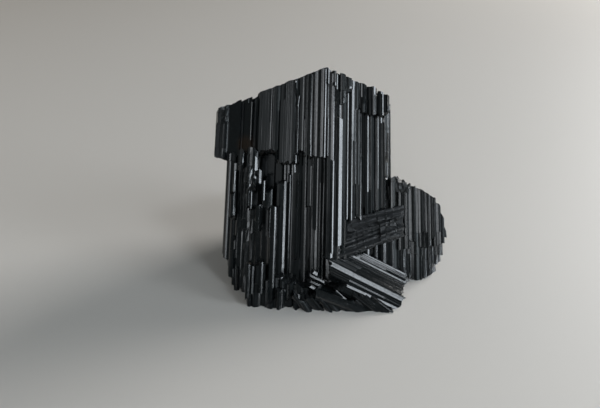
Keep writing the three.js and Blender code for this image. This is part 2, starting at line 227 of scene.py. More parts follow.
def section(half_width, half_depth, random, turn=0, lopsided=0.12, uneven=0.16):
    """Six faces round an ellipse, the one that looks right and forward pushed out a little."""
    outline = 3 * max(half_width, half_depth) * SQUARE
    for k in range(6):
        normal = facing(LATTICE + turn + 60 * k)
        touch = math.hypot(half_width * normal[0], half_depth * normal[1])
        share = FACE_REACH + uneven * (random() - 0.5) + (lopsided if k == 1 else 0)
        outline = clip(outline, normal, touch * share)
    return outline


def faceted(walls):
    """An outline from its walls, each given by the bearing that it faces and how far out it is."""
    outline = PAST_ALL_WALLS * SQUARE
    for bearing, reach in walls:
        outline = clip(outline, facing(bearing), reach)
    return outline


def bevelled(outline, turn, rng, most):
    """The outline with each of its corners cut by a narrow face of the second prism."""
    for k in range(6):
        normal = facing(LATTICE + turn + 30 + 60 * k)
        cut = most * (LEAST_BEVEL + (1 - LEAST_BEVEL) * rng.random())
        outline = clip(outline, normal, (outline @ normal).max() - cut)
    return outline


def combed(outline, bearing, tilt, flat, wide):
    """The outline with one face, the one that looks towards bearing, combed into narrow teeth:
    after each flat comes a short return outwards and a wide facet that is turned by tilt."""
    edge = np.roll(outline, -1, 0) - outline
    length = np.hypot(edge[:, 0], edge[:, 1])
    normal = np.stack([edge[:, 1], -edge[:, 0]], 1) / length[:, None]
    i = int((normal @ facing(bearing)).argmax())
    rise, back = wide * math.tan(math.radians(tilt)), TOOTH_RETURN * wide
    begin = np.cumsum(flat + back + wide) - back - wide
    s = np.stack([begin, begin + back, begin + back + wide], 1).ravel()
    out = np.stack([0 * rise, rise, 0 * rise], 1).ravel()
    teeth = outline[i] + s[:, None] * edge[i] / length[i] + out[:, None] * normal[i]
    return np.concatenate([outline[:i + 1], teeth[s < length[i] - TOOTH_ROOM], outline[i + 1:]])


sample = section(2, 2, stream(1))
print("a section has", len(sample), "corners before its bevels and",
      len(bevelled(sample, 0, np.random.default_rng(1), 0.3)), "after")

# %% [markdown]
# ## The striated wall
# A tourmaline face isn't flat: growth alternated between two face directions, which leaves
# lengthwise lines from hair-fine to a millimetre apart. They could be a bump only, but the wide
# ones catch the light as real strips. So the outline is walked in uneven steps, and every step
# is sunk by a random small depth, which makes long thin facets when it is carried up the prism.

# %% Walk round the outline in uneven strips
STRIP_SHIFT = 0.8                # a line stands at random in this share of a step
STRIP_SHALLOW = 1.5              # a random share raised to this, so that most strips are shallow


def strips(outline, pitch, depth, rng):
    """Points along the outline, uneven steps of about pitch apart, with the inward direction
    and the depth that each is sunk by. Corners aren't sunk, so the section keeps its size."""
    edge = np.roll(outline, -1, 0) - outline
    length = np.hypot(edge[:, 0], edge[:, 1])
    count = np.maximum(1, np.round(length / pitch).astype(int))
    face = np.repeat(np.arange(len(outline)), count)
    step = np.arange(len(face)) - np.repeat(np.cumsum(count) - count, count)
    inner = step > 0
    along = (step + STRIP_SHIFT * (rng.random(len(face)) - 0.5) * inner) / count[face]
    points = outline[face] + edge[face] * along[:, None]
    inward = np.stack([-edge[:, 1], edge[:, 0]], 1) / length[:, None]
    return points, inward[face], depth * rng.random(len(face)) ** STRIP_SHALLOW * inner


print("strips on the sample section", len(strips(sample, 0.4, 0.1, np.random.default_rng(1))[0]))

# %% [markdown]
# ## A prism with ledges and broken ends
# Each column is one closed sheet: a grid whose rows run from the middle of its foot, out over the
# foot, up the wall, and in over the top to its middle. Some rows of the wall stand in pairs, a
# hair apart, and between the rows of a pair part of the wall steps in or out: those are the
# little ledges where a strip stopped growing. The ends are tilted planes. Schorl breaks into
# small steps and hollows, so waves rounded to terraces are added to them, strongly where the
# crystal broke and faintly where it grew to an end.

# %% Work out one closed prism
CAP_RINGS = (0.86, 0.66, 0.44, 0.22)    # the rings of an end, as shares of the way from its middle
LEDGE_RISE = 0.1                 # height of the step between paired rows, in mm
LEDGE_ZONE = (0.04, 0.96)        # where on the wall ledges may lie, as shares of its height
WAVE_LENGTHS = (1.1, 3.4)        # of the waves on a broken end, in mm
WAVE_HEIGHT, TERRACE_HEIGHT = 0.3, 0.45    # as shares of the end's roughness
TERRACED = 0.6                   # the share of the terraces in the mix with the plain waves
RIM_RAGGED = 0.5                 # how ragged the rim of an end is, as a share of its roughness


def end_height(end, x, v, mid):
    """A tilted plane: the height at the middle, plus a fall along x and along v."""
    return end[0] + end[1] * (x - mid[0]) + end[2] * (v - mid[1])


def hackly(x, v, rough, rng):
    """Heights of a broken surface: four waves in random directions added up, and the sum mixed
    with itself rounded to small terraces. A millionth keeps the terraces of a smooth end above
    zero height."""
    angle, phase = rng.uniform(0, math.tau, (2, 4))
    length = rng.uniform(*WAVE_LENGTHS, 4)
    along = x[..., None] * np.cos(angle) + v[..., None] * np.sin(angle)
    height = (WAVE_HEIGHT * rough * np.sin(math.tau * along / length + phase)).sum(-1)
    terrace = TERRACE_HEIGHT * rough + 1e-6
    return (1 - TERRACED) * height + TERRACED * terrace * np.round(height / terrace)


def wall_rows(points, inward, sunk, length, rng, ledges, step, pits):
    """The wall's rows as shares of its length, and where each row's points stand. For each ledge
    one stretch of the wall, up to a third of the way round, is sunk further, either above the
    ledge or below it. On a pitted crystal every point is sunk by a depth of its own as well, a
    random share to the third power. Nothing is sunk past half the way to the middle."""
    n = len(points)
    marks = np.sort(rng.uniform(*LEDGE_ZONE, ledges))
    share = np.concatenate([[0], np.stack([marks, marks + LEDGE_RISE / length], 1).ravel(), [1]])
    share = np.sort(np.clip(share, 0, 1))
    start, width = rng.integers(0, n, ledges), rng.integers(2, max(3, n // 3), ledges)
    stretch = (np.arange(n)[None] - start[:, None]) % n < width[:, None]
    above = share[:, None] > marks[None] + 0.5 * LEDGE_RISE / length
    active = above == (rng.random(ledges) < 0.5)[None]
    extra = active.astype(float) @ (stretch * (step * rng.random(ledges))[:, None])
    extra = extra + pits * rng.random((len(share), n)) ** 3
    deep = np.minimum(sunk[None] + extra, 0.5 * np.abs(points - points.mean(0)).max())
    return share, points[None] + inward[None] * deep[..., None]


def prism(outline, mid, foot, top, rng, pitch, depth, ledges, step, rough, pits=0):
    """A closed grid: the foot's rings from its middle outwards, the wall's rows, the top's rings
    back to its middle, and a pole at each end. Returns the points, the faces and, for each face,
    whether it belongs to an end."""
    points, inward, sunk = strips(outline, pitch, depth, rng)
    n = len(points)
    share, wall = wall_rows(points, inward, sunk, top[0] - foot[0], rng, ledges, step, pits)
    x, v = wall[..., 0], wall[..., 1]
    ends, jag = [], []
    for which, end in enumerate((foot, top)):
        reach = np.array([1, *CAP_RINGS, 0])[:, None, None]
        ring = mid + reach * (wall[-which] - mid)[None]
        ragged = RIM_RAGGED * rough[which] * (rng.random(n) - 0.5)
        uneven = hackly(ring[..., 0], ring[..., 1], rough[which], rng) + ragged * reach[..., 0] ** 3
        height = end_height(end, ring[..., 0], ring[..., 1], mid) + uneven
        ends.append(np.concatenate([ring, height[..., None]], -1))
        jag.append(uneven[0])
    low, high = end_height(foot, x, v, mid) + jag[0], end_height(top, x, v, mid) + jag[1]
    body = np.stack([x, v, low + share[:, None] * (high - low)], -1)
    foot_rings, top_rings = ends[0][1:-1], ends[1][1:-1]
    grid = np.concatenate([foot_rings[::-1], body, top_rings])
    count = len(grid)
    poles = np.array([ends[0][-1, 0], ends[1][-1, 0]])
    i, j = np.arange(n), (np.arange(n) + 1) % n
    r = np.arange(count - 1)[:, None] * n
    quads = np.stack([r + i, r + j, r + n + j, r + n + i], -1).reshape(-1, 4)
    last = (count - 1) * n
    foot_fan = np.stack([j, i, np.full(n, count * n)], -1)
    top_fan = np.stack([last + i, last + j, np.full(n, count * n + 1)], -1)
    band, rings = np.arange(count - 1), len(CAP_RINGS)
    in_end = np.repeat((band < rings) | (band >= count - 1 - rings), n)
    in_end = np.concatenate([in_end, np.ones(2 * n, bool)])
    faces = quads.tolist() + foot_fan.tolist() + top_fan.tolist()
    return np.concatenate([grid.reshape(-1, 3), poles]), faces, in_end


demo = prism(sample, np.zeros(2), (0, 0, 0), (20, 0.2, 0), np.random.default_rng(2),
             pitch=0.4, depth=0.1, ledges=4, step=0.2, rough=(0.3, 0.3))
print("one prism has", len(demo[0]), "points and", len(demo[1]), "faces")

# %% [markdown]
# ## Columns, upright and lying
# An upright column follows the sheaf, which fans out a little towards its root. A lying crystal
# is the same kind of prism, turned so that its length runs between two given points. Each could
# have a material of its own, but it is simpler to keep what the finish needs on the mesh: its own
# x, v and u, so that the lines can follow its length, and for each face whether it is part of an
# end and how dull it is.

# %% Make a column and collect it
APART = 50                       # own coordinates move up to this far, so that patterns differ
WINDOW_TURN, WINDOW_TURN_PER_MM = -8.3, -0.17     # in degrees, at x 0 and for each mm of x
gathering = bpy.data.collections.new("gathering")
bpy.context.scene.collection.children.link(gathering)
made = []


def collect(own, placed, faces, in_end, dull):
    """Puts one prism's mesh in the collection with its own coordinates at each corner and, for
    each face, whether it is in an end, how dull it is, and a third number that stays 0."""
    mesh = bpy.data.meshes.new("prism")
    mesh.from_pydata(placed.tolist(), [], faces)
    corner = np.empty(len(mesh.loops), np.int32)
    mesh.loops.foreach_get("vertex_index", corner)
    mesh.attributes.new("own", "FLOAT_VECTOR", "CORNER").data.foreach_set(
        "vector", own[corner].astype(np.float32).ravel())
    finish = np.stack([in_end.astype(float), np.full(len(faces), dull), np.zeros(len(faces))], -1)
    mesh.attributes.new("finish", "FLOAT_VECTOR", "FACE").data.foreach_set(
        "vector", finish.astype(np.float32).ravel())
    piece = bpy.data.objects.new("prism", mesh)
    gathering.objects.link(piece)
    made.append(piece)


def tilted(u, random, steep=0.5):
    """An end that broke across: its height, and a random slope each way, or the slope given."""
    if isinstance(u, tuple):
        return u
    return (u, steep * (random() - 0.5) * 2, steep * (random() - 0.5) * 2)


def on_roof(x, v, drop):
    """An end that lies on the roof, or a little under it."""
    return (roof(x, v) - drop, ROOF_LEFT if x < APEX_X else -ROOF_RIGHT, -ROOF_BACK)


def to_window(x):
    """The turn that makes the right front face of a column at x mirror the window."""
    return WINDOW_TURN + WINDOW_TURN_PER_MM * x


def fanned(own):
    """The sheaf fans out towards its root: x moves away from SPREAD_X by a small share of its
    distance from there times the distance below SPREAD_U."""
    placed = own.copy()
    placed[:, 0] += SPREAD * (own[:, 0] - SPREAD_X) * (SPREAD_U - own[:, 2])
    return placed


def column(x, v, w, d=None, top=None, foot=None, drop=0, turn=0, lopsided=0.12, uneven=0.16,
           seed=0, steep=0.5, pitch=0.42, depth=0.11, ledges=4, step=0.22, rough=0.45, pits=0,
           dull=0.0, bevel=0.16, top_rough=0.1, comb=None):
    """An upright column of half width w and half depth d whose front stands at v. With no top it
    ends on the roof, and with no foot it goes into the ground. Comb is the tilt of the teeth on
    its left front face, in degrees."""
    d = w if d is None else d
    turn = to_window(x) if turn == "window" else turn
    random, rng = stream(seed), np.random.default_rng(seed)
    mid = np.array([x, v + d])
    outline = section(w, d, random, turn, lopsided, uneven) + mid
    centre = outline.mean(0)
    upper = on_roof(x, v + d, drop) if top is None else tilted(top, random, steep)
    lower = (ROOT, 0, 0) if foot is None else tilted(foot, random, steep)
    ends = (rough, top_rough if top is None else rough)
    outline = bevelled(outline - mid, turn, rng, bevel * min(w, d)) + mid
    if comb:
        flat, wide = rng.uniform(0.3, 0.9, 20), rng.uniform(0.02, 0.07, 20)
        outline = combed(outline, LATTICE + turn, comb, flat, wide)
    own, faces, in_end = prism(outline, centre, lower, upper, rng, pitch, depth, ledges, step,
                               ends, pits)
    collect(own + rng.uniform(-APART, APART, 3), fanned(own), faces, in_end, dull)


def lying(start, finish, w=2, d=2, seed=0, turn=0, outline=None, low_end=None, high_end=None,
          bevel=0.16, pitch=0.4, depth=0.1, ledges=4, step=0.2, rough=0.4, pits=0, dull=0.0):
    """A crystal whose axis runs from start to finish, each given as x, v and u. Its section is a
    six-sided one, or the outline given. An end that is given is its two slopes."""
    random, rng = stream(seed), np.random.default_rng(seed)
    start, along = np.array(start, float), np.array(finish, float) - np.array(start, float)
    length = np.linalg.norm(along)
    six_sided = outline is None
    outline = section(w, d, random, turn) if six_sided else outline
    centre = outline.mean(0)
    lower = tilted(0, random) if low_end is None else (0, *low_end)
    upper = tilted(length, random) if high_end is None else (length, *high_end)
    if six_sided:
        outline = bevelled(outline, turn, rng, bevel * min(w, d))
    own, faces, in_end = prism(outline, centre, lower, upper, rng, pitch, depth, ledges, step,
                               (rough, rough), pits)
    up = along / length
    deep = np.array([0, 1, 0]) - up * up[1]
    deep /= np.linalg.norm(deep)
    placed = start + own @ np.stack([np.cross(deep, up), deep, up])
    collect(own + rng.uniform(-APART, APART, 3), placed, faces, in_end, dull)


print("a column at x 0 is turned by", to_window(0), "degrees to mirror the window")

# %% [markdown]
# ## The heart and the broken top
# A plain core fills the middle, out of sight. Over it stands a crown of stout columns that end
# on the roof at slightly different heights, which is how such a sheaf looks from above. They could
# be placed one by one, but nobody sees which is which, so a loop sets them out in shifted rows.


# %% Core and crown
def block(points, foot, top, seed):
    """A plain prism over a given outline, hidden inside the others."""
    outline = np.array(points, float)
    rng = np.random.default_rng(seed)
    own, faces, in_end = prism(outline, outline.mean(0), foot, top, rng, pitch=9, depth=0, ledges=0,
                               step=0, rough=(0, 0))
    collect(own, fanned(own), faces, in_end, dull=0)


CORE = [
    (-13, 8.5), (-8, 7), (0, 6.4), (12, 4.4), (20, 8), (22, 14), (17, 24), (8, 28.5), (-6, 27.5),
    (-15, 19),
]
block(CORE, (ROOT, 0, 0), (15, 0, 0), 1)
block([(x, max(v, front_of(x) + 4)) for x, v in CORE], (10, 0, 0), (43, 0, -ROOF_BACK), 2)

CROWN_X, CROWN_V = -14.5, 6      # where its rows begin
CROWN_STEP, CROWN_ROW = 4.6, 3.8        # between its columns and between its rows, in mm
CROWN_STRAY = 1.2                # how much a column's place is left to chance, in mm
random = stream(5)
for row in range(6):
    for k in range(8):
        x = CROWN_X + CROWN_STEP * k + (row % 2) * CROWN_STEP / 2 + CROWN_STRAY * (random() - 0.5)
        v = CROWN_V + CROWN_ROW * row + CROWN_STRAY * (random() - 0.5)
        drop = 0.4 + 5 * random() * random()
        w = 2.9 + 0.9 * random()
        # only behind the front faces and inside the rounded back
        if v - w > front_of(x) + 1.6 and v < 25 - 0.03 * (x - 3) ** 2:
            column(x, v - w, w, w, foot=25, drop=drop, seed=1300 + 10 * row + k, pitch=0.6,
                   rough=0.7, bevel=0.05, uneven=0.4, top_rough=0.28)
print("pieces so far", len(made))

# %% [markdown]
# ## The front of the sheaf
# The upper left front is a broad, finely lined slab whose foot broke off in a ragged ledge. Under
# it the columns are set back. The ridge follows, and then the right front face, whose columns
# stop short on the dull crystals and carry a row of blocks at the top. The eye knows these columns
# one by one, so each has a row in a table: where it stands, how wide it is, where it ends, and
# whether it is turned to mirror the window.

# %% Slab, columns under it, ridge and right face
BROAD = 0.6                      # a slab column of more than this half width is a broad one
SLAB_COMB = 9                    # the tilt of the slab's teeth, in degrees

# x is a column's place, w and d its half width and half depth, foot and top its ends, drop how far
# it ends below the roof, and back how far it stands behind the front face
SLAB = [
    dict(x=-8.7, w=3.3, foot=39.1), dict(x=-3.6, w=2.9, foot=36.2),
    dict(x=0, w=1, foot=39.2, back=0.35), dict(x=1.7, w=1.1, foot=38.2, back=0.1, turn=4),
    dict(x=3.5, w=1.3, foot=37.8, turn=9), dict(x=5.0, w=1.05, foot=37.4, turn=9),
    dict(x=2.5, w=0.4, foot=37.6, back=-0.5, turn="window"),
    dict(x=6, w=0.35, foot=37.2, back=-0.55, turn="window"),
    dict(x=6.8, w=0.5, foot=37.5, back=-0.1, turn="window"),
]
for i, spec in enumerate(SLAB):
    x, w = spec["x"], spec["w"]
    broad = w > BROAD
    column(x, front_of(x) + spec.get("back", 0), w, 2.6 if broad else 1, foot=spec["foot"],
           drop=-0.35 if broad else 0.4, turn=spec.get("turn", 0), lopsided=0.6 if broad else 0,
           uneven=0.02, steep=0.06, rough=0.7, seed=100 + i, pitch=0.34,
           depth=0.05 if x < 1 else 0.11, comb=SLAB_COMB if broad and x < 3 else None)

UNDER_SLAB = [
    dict(x=-10.4, back=3.8), dict(x=-7.8, back=4.2), dict(x=-5.4, back=3.4),
    dict(x=-3.2, back=2.6), dict(x=-1.0, back=2.4), dict(x=1.4, back=2.6, w=1.9),
    dict(x=4.6, back=1.6, w=2),
]
for i, spec in enumerate(UNDER_SLAB):
    place = front_of(spec["x"]) + spec["back"]
    column(spec["x"], place, spec.get("w", 1.6), 2.4, top=48, lopsided=0.4, seed=200 + i)

RIDGE = [
    dict(x=7.3, v=0.1, w=0.9, d=2.4, foot=12.5, drop=0.8),
    dict(x=6.7, v=0.3, w=1.1, d=2, foot=50, drop=0.1),
    dict(x=9.9, v=0.1, w=0.75, d=2.2, top=47.4, foot=15.6, turn="window", lopsided=-0.1,
         pitch=3, depth=0, ledges=2),
    dict(x=9.0, v=1.0, w=1.3, d=2.4, foot=12, drop=0.3),
    dict(x=10.8, v=1.7, w=1.4, d=2.4, foot=12, drop=0.4),
    dict(x=12.6, v=2.6, w=1.4, d=2.4, foot=30, drop=0.2),
    dict(x=8.1, v=-0.1, w=0.5, d=1.6, foot=13, drop=1.2, turn="window"),
    dict(x=10.6, v=0.9, w=0.9, d=1.6, foot=50.5), dict(x=12, v=1.5, w=0.8, d=1.6, foot=53.5),
    dict(x=8.9, v=0.3, w=0.4, d=1, foot=50.5, drop=1, turn="window"),
    dict(x=6.6, v=0.05, w=0.45, d=1, foot=55.4, drop=0.2, turn="window", depth=0.02),
    dict(x=8.3, v=-0.2, w=0.5, d=1, foot=54.6, drop=0.3, turn="window", depth=0.02),
]
for i, spec in enumerate(RIDGE):
    column(**{"seed": 301 + i, **spec})

RIGHT_FACE_COLUMNS = [
    dict(x=11.7, w=0.55, top=53, foot=21.4, back=0.1, turn="window"),
    dict(x=12.8, w=0.45, top=53.8, foot=20.8, turn="window"),
    dict(x=13.7, w=0.6, top=55, foot=21.6, back=0.7),
    dict(x=14.7, w=0.9, top=49, foot=22, back=0.5),
    dict(x=15.8, w=0.5, top=51, foot=22.6, back=0.4, turn="window"),
    dict(x=17.2, w=0.5, top=50, foot=22.8, back=0.6, turn="window"),
    dict(x=18.4, w=1.1, top=50, foot=23.4, back=0.9),
    dict(x=20.2, w=1.1, top=50, foot=24, back=0.7),
    dict(x=21.7, w=0.6, top=47.4, foot=24.6, back=0.3, turn="window"),
    dict(x=22.4, w=0.7, top=49, foot=27, back=0.9, pits=0.5, ledges=14, step=0.5),
    dict(x=15.9, w=1.0, foot=49.4, back=-0.2), dict(x=18.6, w=1.5, foot=48.8, back=-0.9, turn=-20),
    dict(x=20.9, w=0.9, foot=48.6, back=-0.5, turn="window"),
    dict(x=22.5, w=1.1, foot=49.4, back=-0.5, turn="window"),
    dict(x=14.3, w=1.1, foot=50, back=0.4),
]
for i, spec in enumerate(RIGHT_FACE_COLUMNS):
    spec = dict(spec)
    back = spec.pop("back", 0)
    column(v=front_of(spec["x"]) + back, d=2.4, seed=400 + i, **spec)

# the small column beside the lobe, and the short wall between the dull and the striped crystals
column(24.2, 6, 0.8, 1, top=31.6, foot=25, seed=420)
for i in range(5):
    column(17.5 + 2.1 * i, 6.2 + 0.6 * i, 1.5, 3, top=26, foot=2 + 0.6 * i, turn=14, depth=0.04,
           seed=430 + i)
print("pieces so far", len(made))

# %% [markdown]
# ## The left side and the foot
# The block at the upper left stands out on its own. Below it the flank is a flight of broken
# columns, crowded with short shards, and a fringe of stubs runs along the foot. The bright strips
# could be painted on, but they are long narrow faces that mirror the window, so they are made as
# thin columns that are turned towards it. The shards and stubs are set out by loops.

# %% Left block, flank, shards and fringe
column(-20.7, 7.9, 2.5, 2.7, foot=38, drop=-0.1, turn=0, bevel=0.04, uneven=0.02, lopsided=0,
       pitch=0.6, depth=0.05, ledges=7, step=0.3, rough=0.25, pits=0.06, seed=501)

# the three columns between the block and the slab: x, v, half width, foot and drop
BESIDE_BLOCK = [(-17.6, 7.4, 1.8, 38.6, 0.2), (-14.6, 6.8, 2, 37, 0.4), (-12.4, 6.9, 1.6, 38, 0.3)]
for i, (x, v, w, foot, drop) in enumerate(BESIDE_BLOCK):
    column(x, v, w, 3, foot=foot, drop=drop, turn=-13, lopsided=0.6, depth=0.03, seed=502 + i)

FLANK = [
    dict(x=-17.7, v=6.8, w=1.7, top=38.4, foot=12), dict(x=-16.2, v=6, top=36, foot=9),
    dict(x=-14.9, v=5.3, top=38.6, foot=7), dict(x=-13.6, v=4.7, top=34, foot=3),
    dict(x=-12.4, v=4.1, top=39, foot=0.5), dict(x=-11, v=3.5, top=33),
    dict(x=-9.6, v=2.8, top=26, w=1.3), dict(x=-8.2, v=2.4, top=29),
    dict(x=-6.6, v=1.8, top=24, w=1.2), dict(x=-4.6, v=2.3, top=31, w=1.3),
]
for i, spec in enumerate(FLANK):
    # those in the middle of the flank are the most broken
    broken_up = dict(pits=0.1, ledges=9, step=0.3) if 1 < i < 7 else {}
    column(**{"w": 1.5, "d": 2.2, "seed": 600 + i, **broken_up, **spec})

BRIGHT_STRIPS = [
    dict(x=-16.7, v=3.6, w=0.85, top=28.4, foot=21.8),
    dict(x=-16.6, v=3.9, w=0.3, top=34, foot=28),
    dict(x=-12.7, v=2.6, w=0.9, top=35, foot=29, pits=0.1, rough=1.4, ledges=5),
    dict(x=-11.7, v=2.4, w=0.8, top=32, foot=28.6, pits=0.1, rough=1.4, ledges=5),
    dict(x=-12.7, v=2.0, w=0.32, top=28.6, foot=24.4),
    dict(x=-12.1, v=1.9, w=0.3, top=28.6, foot=24.2),
    dict(x=-10.1, v=1.3, w=0.75, top=24.8, foot=18.6),
    dict(x=-9.3, v=1.4, w=0.25, top=24.8, foot=20), dict(x=-9, v=1.6, w=0.4, top=30.6, foot=26.2),
    dict(x=-6.1, v=-0.4, w=0.85, top=24.6), dict(x=-7, v=-0.1, w=0.25, top=23.8, foot=17),
    dict(x=-2.5, v=4.4, w=0.4, top=33.4, foot=3.4), dict(x=-0.4, v=4.2, w=0.35, top=32, foot=11),
    dict(x=3.9, v=2, w=0.4, top=38.5, foot=19),
    dict(x=-0.75, v=2.3, w=0.22, d=0.6, top=51, foot=38.4),
    dict(x=0.9, v=2.1, w=0.2, d=0.6, top=48, foot=39),
    dict(x=-10.6, v=-1.2, w=0.4, top=10, foot=3), dict(x=-9.4, v=-1.3, w=0.55, top=10.4, foot=5.6),
    dict(x=-8.7, v=-1.4, w=0.5, top=11.2, foot=3.4),
    dict(x=-11.7, v=-1.3, w=0.5, top=10.6, foot=2),
]
STRIP = dict(d=1.6, turn="window", steep=0.3, depth=0.02, ledges=1, step=0.1)
for i, spec in enumerate(BRIGHT_STRIPS):
    column(**{**STRIP, "seed": 640 + i, **spec})

# the light lip of the slab's crack: slivers from end to end, each from one x and u to another
LIP = [((-1.4, 33.4), (-1.45, 35.6)), ((-1.15, 36), (-1.1, 37.8)), ((-0.6, 50.6), (-0.25, 52.9)),
       ((-0.25, 52.5), (-1.2, 54.9)), ((-1.2, 54.5), (-1.12, 56.7))]
for i, ((x0, u0), (x1, u1)) in enumerate(LIP):
    lying((x0, front_of(x0) + 0.2, u0), (x1, front_of(x1) + 0.2, u1), 0.24, 0.6, seed=670 + i,
          turn=to_window(x0), bevel=0.03, depth=0.02, ledges=1)

# short shards on the flank, which stand further back towards the left
random = stream(77)
for i in range(12):
    x = -17 + 13 * random()
    top = 8 + 24 * random()
    length = 4 + 9 * random()
    v = 1.9 + 0.3 * max(0, -9 - x) + 1.2 * random() + 0.05 * top
    column(x, v, 0.5 + 0.5 * random(), 1.4, top=top, foot=top - length, seed=700 + i)

# the fringe of stubs, lower towards the right, and stouter ones behind it
random = stream(31)
for i in range(16):
    x = -11.6 + 0.9 * i + 0.5 * random()
    v = -0.9 - 0.06 * i + 1.3 * random()
    top = 3 + 8 * random() - 0.5 * i
    column(x, v, 0.6 + 0.7 * random(), 2.4, top=max(1.4, top), seed=800 + i)
for i in range(5):
    column(-5 + 1.7 * i, 0.2, 1.4, 3, top=8 - 0.8 * i, seed=820 + i)

# broken pieces that lie along the foot, under the striped crystal
random = stream(43)
for i in range(18):
    x = -0.5 + 1.05 * i
    v = -1.9 + 0.9 * random()
    high = 3 if i < 9 else 1.4
    start = (x - 1, v + 1.6, high * (0.4 + 0.6 * random()))
    finish = (x + 1.6 + 2 * random(), v + 1.4, -1.6 - random())
    lying(start, finish, 0.5 + 0.6 * random(), 1.6, seed=840 + i, rough=0.7)
print("pieces so far", len(made))

# %% [markdown]
# ## The lobe, the lying crystals and the back
# The lobe is a small sheaf with a rounded outline and a dull crust on its left shoulder. Two
# dull, pitted crystals lie up to the right across the foot, with a groove between them. A bright
# striped one lies down to the right under them, with thin rods beside it. Round the back stands
# a ring of columns, some of them broken off. The striped one shows its face most, so its section
# is given wall by wall and combed. It is made in two halves, because a tilted plane can end a
# crystal in one slope, and its upper end has two that meet in a point.

# %% Lobe
# for each column of the lobe: x, top, the slope of its top, and foot
LOBE = [
    (26.6, 31, -0.5, 4), (28.6, 30.2, -0.2, 4), (30.4, 29.6, -0.4, 4.6), (32.2, 28.8, -0.5, 5.2),
    (34, 27.8, -0.7, 7), (35.4, 26.2, -1, 10), (36.2, 24.2, -1.8, 12.5), (36.8, 21.6, -2.4, 16),
]
for i, (x, top, slope, foot) in enumerate(LOBE):
    v = 7.4 + 0.02 * (x - 27) ** 2
    ledge = max(foot, 14 + 2 * (i % 3))
    column(x, v, 1.3, 3, top=(top, slope, 0), foot=ledge, turn=-4, lopsided=0.6, uneven=0.03,
           pitch=0.3, depth=0.08, ledges=2, step=0.12, seed=900 + i, rough=0.35)
    column(x + 0.3, v + 1.2, 1.3, 3, top=(top - 1.4, slope, 0), foot=foot, turn=2, pitch=0.3,
           depth=0.09, seed=910 + i, rough=0.35, pits=0.22, dull=0.4)
    column(x - 0.6, v + 4, 1.9, 4, top=(top - 2, slope, -0.2), foot=foot + 1, seed=920 + i)

# the stout columns that fill the lobe: x, v, half width, half depth, top and foot
LOBE_HEART = [(30, 9, 4, 6, 26, None), (24.4, 8, 3.4, 6, 27.6, None), (33.4, 9.6, 3.4, 5, 25, 9.5),
              (35.4, 10.6, 2.2, 4, 23, 13)]
for i, (x, v, w, d, top, foot) in enumerate(LOBE_HEART):
    column(x, v, w, d, top=top, foot=foot, seed=940 + i, pitch=0.6, rough=0.8)

# the dull crust on its shoulder
for i in range(5):
    column(25.2 + 0.75 * i, 6.6, 0.8, 2, top=32.3 - 0.5 * i, foot=29.4, seed=960 + i, rough=0.6,
           pits=0.3, dull=0.8)
print("pieces so far", len(made))

# %% Lying crystals
DULL = dict(dull=1.0, pitch=0.38, depth=0.5, ledges=20, step=0.6, pits=0.5)
lying((9, 5.5, 18.6), (27.2, 8, 23.2), 2.4, 3, seed=11, **DULL)
lying((8.6, 4.2, 13.4), (26.8, 6.8, 19.8), 3.0, 3.6, seed=14, **DULL)

# the striped crystal: its walls as bearings and reaches, then the teeth on two of them
STRIPED = [(0, 3.4), (-28, 2.44), (-45, 1.89), (45, 4.67), (-90, 4.7), (90, 4.7), (180, 4)]
comb = np.random.default_rng(88)
flat = np.concatenate([comb.uniform(0.04, 0.16, 10), comb.uniform(0.3, 0.9, 8)])
wide = np.concatenate([comb.uniform(0.05, 0.2, 10), comb.uniform(0.015, 0.04, 8)])
striped = combed(faceted(STRIPED), -45, 17, flat, wide)
striped = combed(striped, 0, 28, np.array([0.5, 0.5, 0.4]), np.array([0.05, 0.1, 0.06]))
for side, reach, low_slope in ((90, 0.3, -1.05), (-90, 0, 0.5)):
    lying((8.6, 3, 10.9), (25.6, 3, 2.4), outline=clip(striped, facing(side), reach),
          low_end=(low_slope, 0), high_end=(-0.15, 0), seed=12, pitch=0.36, depth=0.03, ledges=6,
          step=0.12, rough=0.7)
print("the striped crystal has", len(striped), "corners in its section")

# two thin rods along its upper edge, each t mm behind v 1
for i, t in enumerate((4.4, 3.2)):
    lying((14 + 0.45 * t, 1.0 + t, 8.6 + 0.9 * t), (25.4 + 0.45 * t, 1.0 + t, 2.9 + 0.9 * t),
          0.5, 0.5, seed=50 + i, turn=-11, depth=0.015)

# the lower striped crystal, and the rods and broken pieces round it
LOW_STRIPED = [(0, 3), (-28, 3.3), (-60, 3.1), (45, 3.4), (-90, 2.3), (90, 2.4), (180, 3)]
lying((10.5, 2.4, 5.6), (24.6, 2.4, -1.4), outline=faceted(LOW_STRIPED), seed=13, pitch=0.36)
lying((4, 1.4, 3), (20, 1.4, -3), w=2, d=3.4, seed=15)
ROD = dict(turn=-11, bevel=0.03, depth=0.015)
RODS = [((3, 2.4, 8.4), (4.6, 7.4)), ((2.2, 2.0, 7.4), (6.4, 5.4)), ((2, 1.6, 6.1), (5.4, 4.6)),
        ((2, 1.4, 5.1), (6.4, 2.7))]
for i, (start, (x, u)) in enumerate(RODS):
    lying(start, (x, start[1], u), 0.55, 1.4, seed=20 + i, ledges=1, **ROD)
lying((6.7, 0.7, 2.6), (11.4, 0.1, -1.2), 0.6, 1.4, seed=30, **ROD)
lying((8.9, 0.8, 3.5), (12.6, 0.4, 0.3), 0.55, 1.4, seed=31, **ROD)
lying((11.3, 0.4, 5.3), (24.2, 0.4, -0.6), 0.35, 1.3, seed=32, ledges=1, **ROD)
for i in range(4):
    start = (13 + 1.5 * i, 0.3 - 0.1 * i, 3.4 - 0.3 * i)
    lying(start, (19.4 + 1.1 * i, -0.3 - 0.1 * i, -1.2), 0.6, 1.7, seed=33 + i, rough=0.8)
print("pieces so far", len(made))

